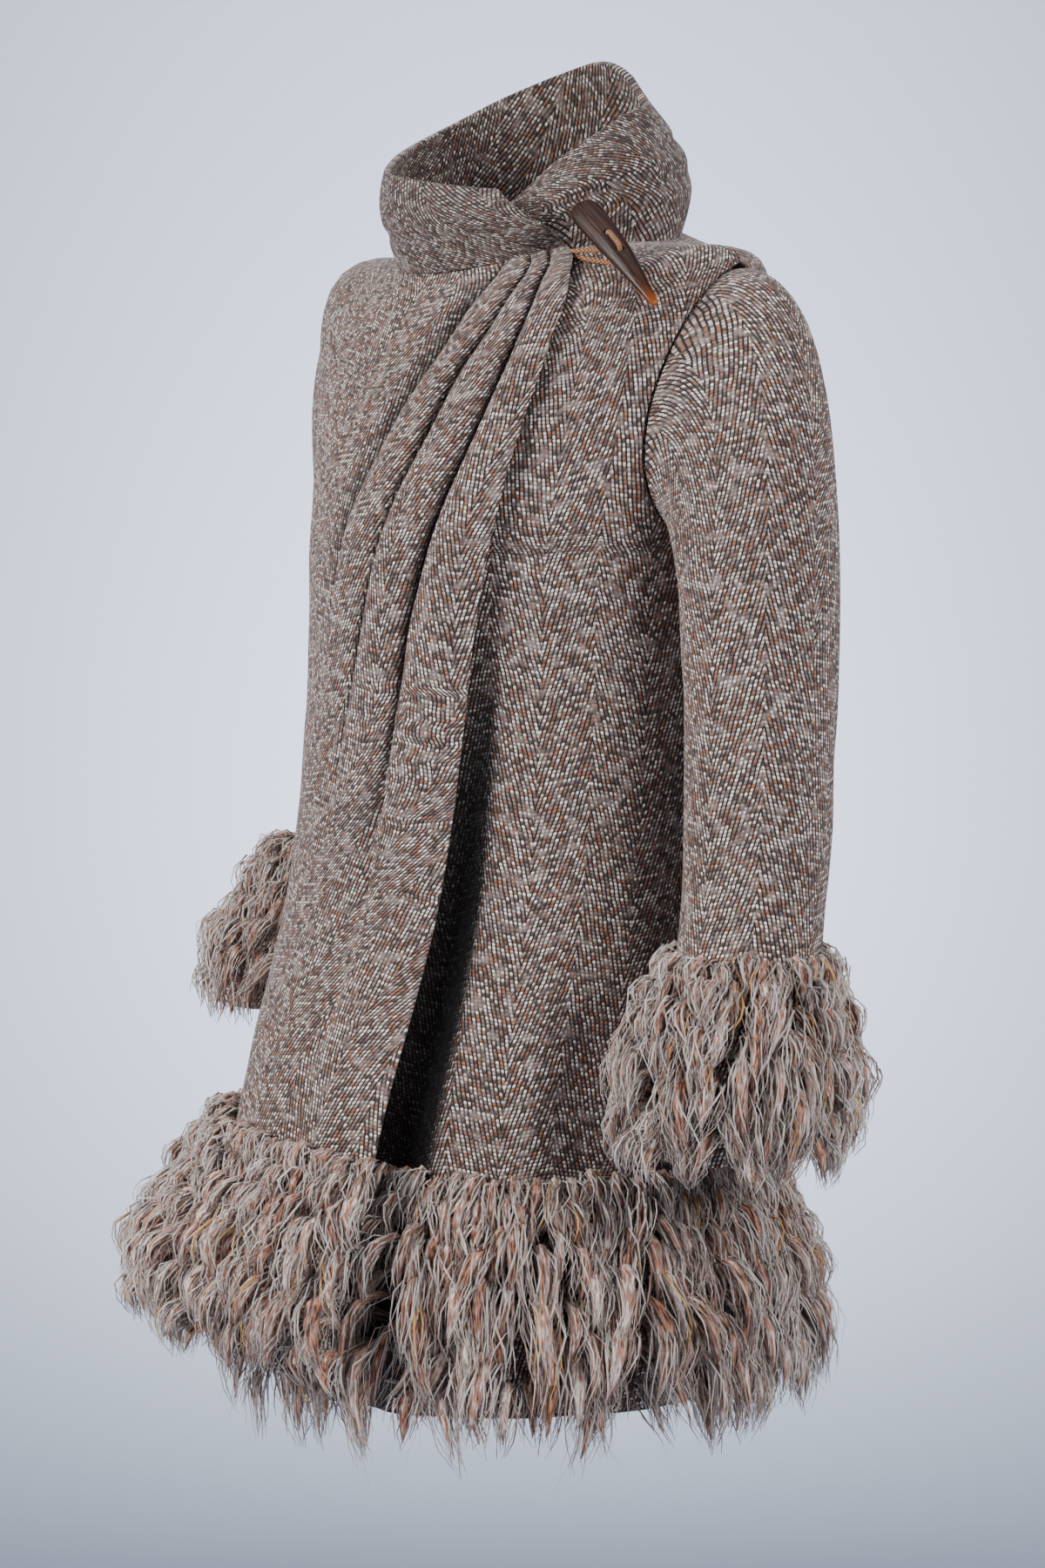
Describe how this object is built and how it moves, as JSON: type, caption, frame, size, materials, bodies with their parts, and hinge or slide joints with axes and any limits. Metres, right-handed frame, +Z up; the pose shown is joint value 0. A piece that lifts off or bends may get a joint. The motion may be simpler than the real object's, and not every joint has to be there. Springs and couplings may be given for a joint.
{
  "type": "wool coat",
  "caption": "Hollow wool tweed coat as worn: front wrapped over in slanting pleats, funnel collar closed by a horn toggle on a cord loop, long sleeves, yarn fringe round hem and cuffs.",
  "frame": {"origin": "the middle of the collar seam, level with the neck, where neck and shoulders carry the coat", "axes": "+Z up along the wearer, -Y the way the wearer faces, +X to the wearer's left"},
  "size_m": [0.6743, 0.4742, 0.9273],
  "materials": {
    "tweed": "brushed herringbone wool tweed",
    "fringe_yarn": "brushed wool yarn locks",
    "horn": "polished dark horn",
    "loop_cord": "braided cord"
  },
  "bodies": {
    "root": {"front_right": "tweed", "front_left": "tweed", "back": "tweed", "sleeve_left": "tweed", "sleeve_right": "tweed", "collar": "tweed", "fringe_front_right_1": "fringe_yarn", "fringe_front_right_2": "fringe_yarn", "fringe_front_right_3": "fringe_yarn", "fringe_front_left_1": "fringe_yarn", "fringe_front_left_2": "fringe_yarn", "fringe_front_left_3": "fringe_yarn", "fringe_back_1": "fringe_yarn", "fringe_back_2": "fringe_yarn", "fringe_back_3": "fringe_yarn", "fringe_cuff_left_1": "fringe_yarn", "fringe_cuff_left_2": "fringe_yarn", "fringe_cuff_left_3": "fringe_yarn", "fringe_cuff_right_1": "fringe_yarn", "fringe_cuff_right_2": "fringe_yarn", "fringe_cuff_right_3": "fringe_yarn", "toggle": "horn", "toggle_loop": "loop_cord"}
  },
  "joints": []
}
